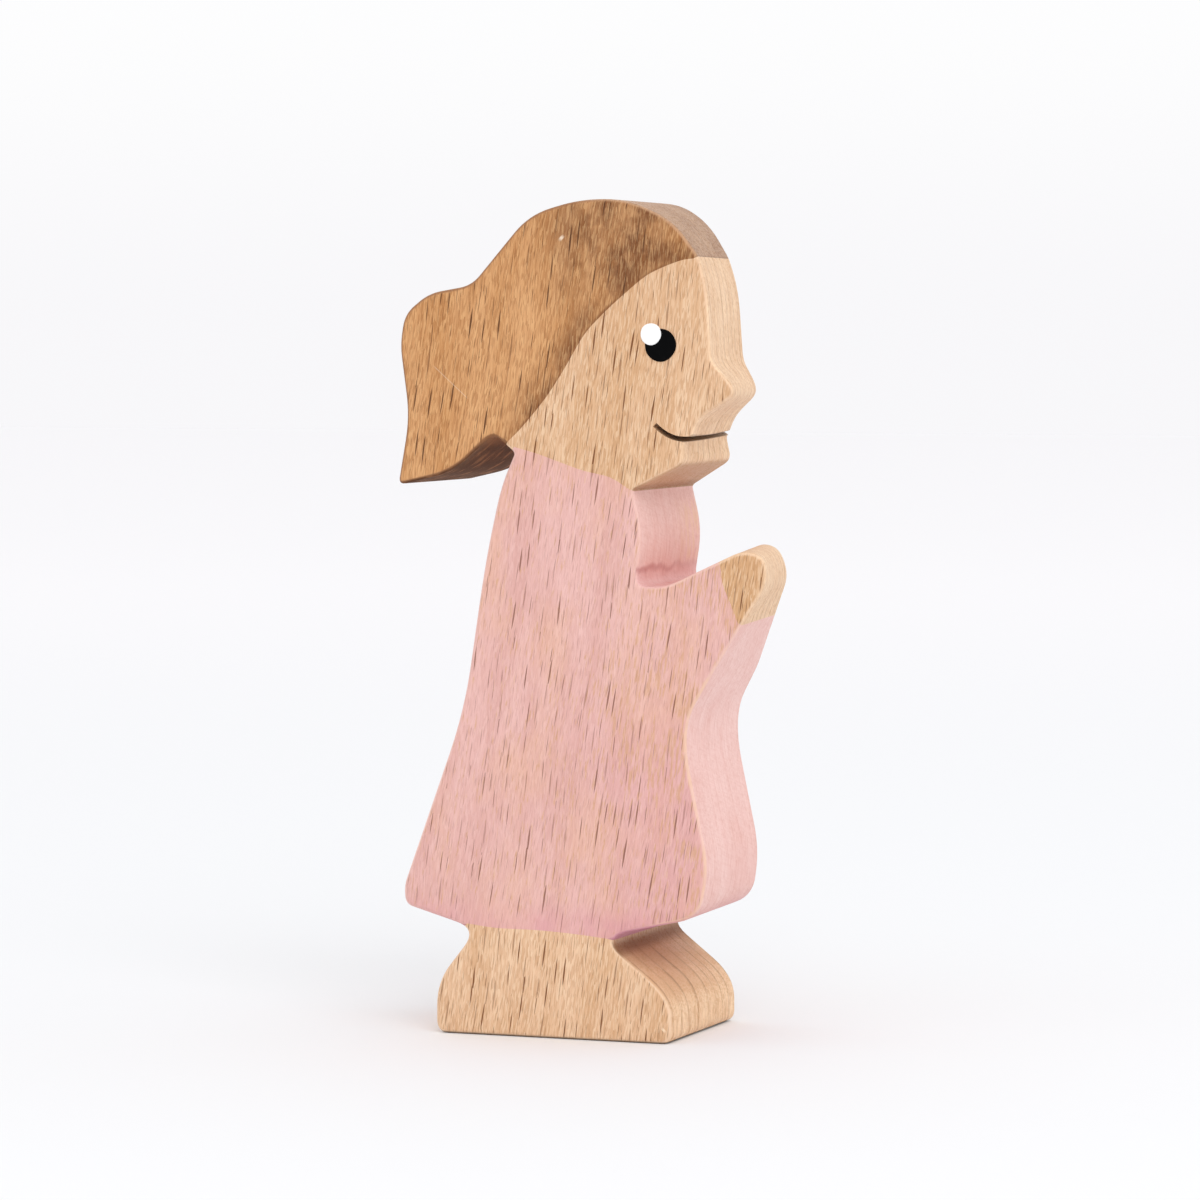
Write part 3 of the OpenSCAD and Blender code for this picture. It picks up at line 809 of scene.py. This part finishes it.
def pinkDress():
    material, tree = freshMaterial("pink dress wash")
    field = grainFields(tree)
    spec = dressFinish
    x, y, z = field["x"], field["y"], field["z"]
    colour = bodyColour(tree, field, spec)

    patch = noise(tree, field["mm"], *spec["patch"])
    front = [(row[2], row[1]) for row in board["outline"] if row[0] in spec["frontSpots"]]
    behind = maths(tree, "SUBTRACT", lineLevel(tree, z, front, *spec["frontBox"]), x)
    peach = fade(tree, noise(tree, field["along"], *spec["warm"]), *spec["warmFrom"])
    colour = blend(tree, product(tree, peach, field["flat"]), colour, spec["peach"])
    flush = product(tree, fade(tree, behind, *spec["flush"]), fade(tree, z, *spec["flushTo"]))
    colour = blend(tree, product(tree, flush, field["flat"]), colour, spec["rose"])
    colour = blend(tree, thinWash(tree, field, behind, patch), colour, spec["tan"])
    colour = grainOver(tree, field, colour, spec)

    nearFront = product(tree, fade(tree, x, *spec["frontFrom"]), fade(tree, y, *spec["frontDepth"]))
    nearFront = product(tree, nearFront, fade(tree, z, *spec["frontTo"]))
    nearFront = product(tree, nearFront, fade(tree, patch, *spec["frontPatch"]))
    colour = blend(tree, product(tree, field["arris"], nearFront), colour, spec["tanEdge"])

    onHem = maths(tree, "MAXIMUM", field["wall"], fade(tree, patch, *spec["hemPatch"]))
    pooled = product(tree, fade(tree, z, *spec["hemTo"]), onHem)
    hollow = product(tree, spotMask(tree, field, spec["hollow"]), field["wall"])
    colour = blend(tree, maths(tree, "MAXIMUM", pooled, hollow), colour, spec["rose"])

    neck = product(tree, fade(tree, z, *spec["neckFrom"]), fade(tree, z, *spec["neckTo"]))
    neck = product(tree, neck, fade(tree, y, *spec["neckDepth"]))
    strokes = fade(tree, noise(tree, field["mm"], spec["neckStroke"]), *spec["neckStrokeFrom"])
    colour = blend(tree, product(tree, neck, strokes, field["wall"]), colour, spec["tanEdge"])
    # painted shade in the crease where the neck meets the hollow
    colour = blend(tree, neckCreaseShade(tree, field), colour, spec["crease"])
    below = product(tree, fade(tree, z, *spec["belowTo"]), fade(tree, x, *spec["belowFrom"]))
    below = product(tree, below, field["wall"], spec["magentaStrength"])
    colour = blend(tree, below, colour, spec["magenta"])
    finishWood(tree, field, colour, spec)
    return material


# the figure's three wood pieces
def zoneFaces(bm, names):
    layer = bm.faces.layers.int["zone"]
    wanted = [board["zones"][name] for name in names]
    return [f for f in bm.faces if f[layer] in wanted]


def woodenFigure(whole, material):
    bm = whole.copy()
    for zone in ("hair", "dress"):                     # leave room for the stained skin
        bmesh.ops.inset_region(
            bm, faces=zoneFaces(bm, [zone]), thickness=0.0, depth=-board["stainDepth"] * mm,
            use_boundary=True, use_even_offset=True,
        )
    piece = meshPiece("figure_wood", bm, material)
    sawMouth(piece)
    softenEdges(piece, board["sharpAngle"])
    return piece


def stainedSkin(name, whole, zone, material):
    bm = whole.copy()
    others = [other for other in board["zones"] if other != zone]
    bmesh.ops.delete(bm, geom=zoneFaces(bm, others), context="FACES")
    piece = meshPiece(name, bm, material)
    shell = piece.modifiers.new("depth of the stain", "SOLIDIFY")
    shell.thickness = board["stainDepth"] * mm
    shell.offset = -1.0
    shell.use_even_offset = True
    softenEdges(piece, board["sharpAngle"])
    return piece


whole = sawBoard()
wood = woodenFigure(whole, bareBeech())
hair = stainedSkin("hair_brown", whole, "hair", brownHair())
dress = stainedSkin("dress_pink", whole, "dress", pinkDress())
whole.free()
for piece, node, slot in (
    (wood, "wooden_figure", "beech"),
    (hair, "hair_stain", "hair_stain"),
    (dress, "dress_stain", "dress_stain"),
):
    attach(piece, "root")
    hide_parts(node)
print("wood pieces made")


# the painted eyes
eyes = {
    "black": {
        "at": (9.15, 74.55), "d": 3.5, "height": 0.12,
        "fresh": tone(3, 3, 4), "worn": tone(12, 12, 13), "rough": (0.5, 0.65),
    },
    "white": {
        "at": (8.1, 75.7), "d": 2.35, "height": 0.2,
        "fresh": tone(250, 250, 250), "worn": tone(238, 238, 238), "rough": (0.35, 0.5),
    },
    "segments": 64,
    "wobble": 0.01,           # share of the radius that the brushed edge strays
    "waves": ((3, 0.7, 1.0), (5, 2.0, 0.6)),    # count, turn and height of the strays
    "crown": 0.8,             # share of the paint's height that is rounded over
    "crownSteps": 4,
    "sharpAngle": 50.0,
    "skin": (0.5, 0.5, 0.5),
    "wornFrom": (0.45, 0.75, 0.0, 0.5),
    "glossFrom": (0.3, 0.7),
    "bump": 0.35,
    "bumpDepth": 0.04,
    "specular": 0.05,
}


def eyePaint(name, spec):
    material, tree = freshMaterial(name)
    place = add(tree, "ShaderNodeTexCoord", {})
    inMm = stretch(tree, place.outputs["Object"], (mm, mm, mm))
    skin = noise(tree, inMm, eyes["skin"])
    relief = {"Height": skin, "Strength": eyes["bump"], "Distance": eyes["bumpDepth"] * mm}
    bump = add(tree, "ShaderNodeBump", relief)
    finishSurface(tree, {
        "Base Color": blend(tree, fade(tree, skin, *eyes["wornFrom"]), spec["fresh"], spec["worn"]),
        "Roughness": fade(tree, skin, *eyes["glossFrom"], *spec["rough"]),
        "Normal": bump.outputs["Normal"],
        "Specular IOR Level": eyes["specular"],
    })
    return material


def paintDot(name, spec, side, material):
    bm = bmesh.new()
    half = board["thickness"] / 2 * mm
    rim = bmesh.ops.create_circle(bm, cap_ends=True, segments=eyes["segments"], radius=spec["d"] / 2 * mm)
    for vert in rim["verts"]:
        turn = math.atan2(vert.co.y, vert.co.x)
        stray = sum(height * math.sin(count * turn + start) for count, start, height in eyes["waves"])
        vert.co *= 1 + eyes["wobble"] * stray
    grown = bmesh.ops.extrude_face_region(bm, geom=bm.faces[:], use_keep_orig=True)
    top = [g for g in grown["geom"] if isinstance(g, bmesh.types.BMVert)]
    bmesh.ops.translate(bm, verts=top, vec=(0.0, 0.0, spec["height"] * mm))
    facesOut(bm)
    upper = [e for e in bm.edges if all(v.co.z > spec["height"] / 2 * mm for v in e.verts)]
    bmesh.ops.bevel(
        bm, geom=upper, offset=spec["height"] * eyes["crown"] * mm, offset_type="OFFSET",
        segments=eyes["crownSteps"], profile=0.5, affect="EDGES", clamp_overlap=True, material=-1,
    )
    for vert in bm.verts:                              # stand the dot up against its side of the head
        x, y, z = vert.co
        vert.co = (spec["at"][0] * mm + x, side * (half + z), spec["at"][1] * mm + y)
    facesOut(bm)
    piece = meshPiece(name, bm, material)
    softenEdges(piece, eyes["sharpAngle"])
    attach(piece, "root")
    return piece


blackPaint = eyePaint("black eye paint", eyes["black"])
whitePaint = eyePaint("white eye paint", eyes["white"])
for sideName, side in (("right", -1), ("left", 1)):
    dot = paintDot(sideName + "_eye_black", eyes["black"], side, blackPaint)
    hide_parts(sideName + "_eye_dot")
    light = paintDot(sideName + "_eye_white", eyes["white"], side, whitePaint)
    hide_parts(sideName + "_eye_highlight")
print("eyes painted")


# floor, light and camera
studio = {
    "floorSize": 6.0,
    "floorParts": 8,
    "floorShadedNear": tone(240, 241, 243),
    "floorLitFar": tone(249, 248, 250),
    "floorFrom": (0.1, 1.0),  # distance over which it brightens, in metres: painted shade near the figure, painted light far off
    "floorRough": 0.9,
    "skyLow": (0.941, 0.934, 0.953, 1.0),
    "skyHigh": (0.985, 0.985, 0.99, 1.0),
    "skyFrom": (0.0, 0.07),   # height over which the backdrop brightens, as a share of the way to overhead
    "key": {"at": (0.55, -0.75, 0.85), "aim": (0.0, 0.0, 0.045), "size": 0.9, "power": 3.5},
    "camera": {
        "at": (181.71, -499.49, 76.05), "pitch": 3.147, "azimuth": 20.126, "lens": 146.8, "sensor": 36.0,
    },
    "clip": (0.01, 50.0),
}


def studioFloor():
    bm = bmesh.new()
    parts = studio["floorParts"]
    bmesh.ops.create_grid(bm, x_segments=parts, y_segments=parts, size=studio["floorSize"] / 2)
    material, tree = freshMaterial("pale floor")
    place = add(tree, "ShaderNodeTexCoord", {})
    away = vectors(tree, "DISTANCE", place.outputs["Object"], (0.0, 0.0, 0.0))["Value"]
    # painted shade near the figure, brightening to painted light far off
    colour = blend(tree, fade(tree, away, *studio["floorFrom"]), studio["floorShadedNear"], studio["floorLitFar"])
    finishSurface(tree, {"Base Color": colour, "Roughness": studio["floorRough"]})
    floor = meshPiece("floor", bm, material)


def studioLight():
    world = bpy.data.worlds.new("white studio")
    bpy.context.scene.world = world
    world.use_nodes = True
    tree = world.node_tree
    way = add(tree, "ShaderNodeTexCoord", {})
    height = axes(tree, way.outputs["Generated"])["Z"]
    sky = blend(tree, fade(tree, height, *studio["skyFrom"]), studio["skyLow"], studio["skyHigh"])
    tree.links.new(sky, tree.nodes["Background"].inputs["Color"])
    spec = studio["key"]
    lamp = bpy.data.lights.new("key", "AREA")
    lamp.shape = "DISK"
    lamp.size = spec["size"]
    lamp.energy = spec["power"]
    key = bpy.data.objects.new("key", lamp)
    key.location = spec["at"]
    key.rotation_euler = (Vector(spec["aim"]) - key.location).to_track_quat("-Z", "Y").to_euler()
    key.visible_camera = False
    bpy.context.scene.collection.objects.link(key)


def photoCamera():
    spec = studio["camera"]
    data = bpy.data.cameras.new("photo")
    data.lens = spec["lens"]
    data.sensor_width = spec["sensor"]
    data.clip_start, data.clip_end = studio["clip"]
    camera = bpy.data.objects.new("photo", data)
    camera.location = Vector(spec["at"]) * mm
    camera.rotation_euler = (math.radians(90 - spec["pitch"]), 0.0, math.radians(spec["azimuth"]))
    bpy.context.scene.collection.objects.link(camera)
    bpy.context.scene.camera = camera


studioFloor()
studioLight()
photoCamera()
bpy.context.scene.view_settings.view_transform = "Standard"
print("studio ready")
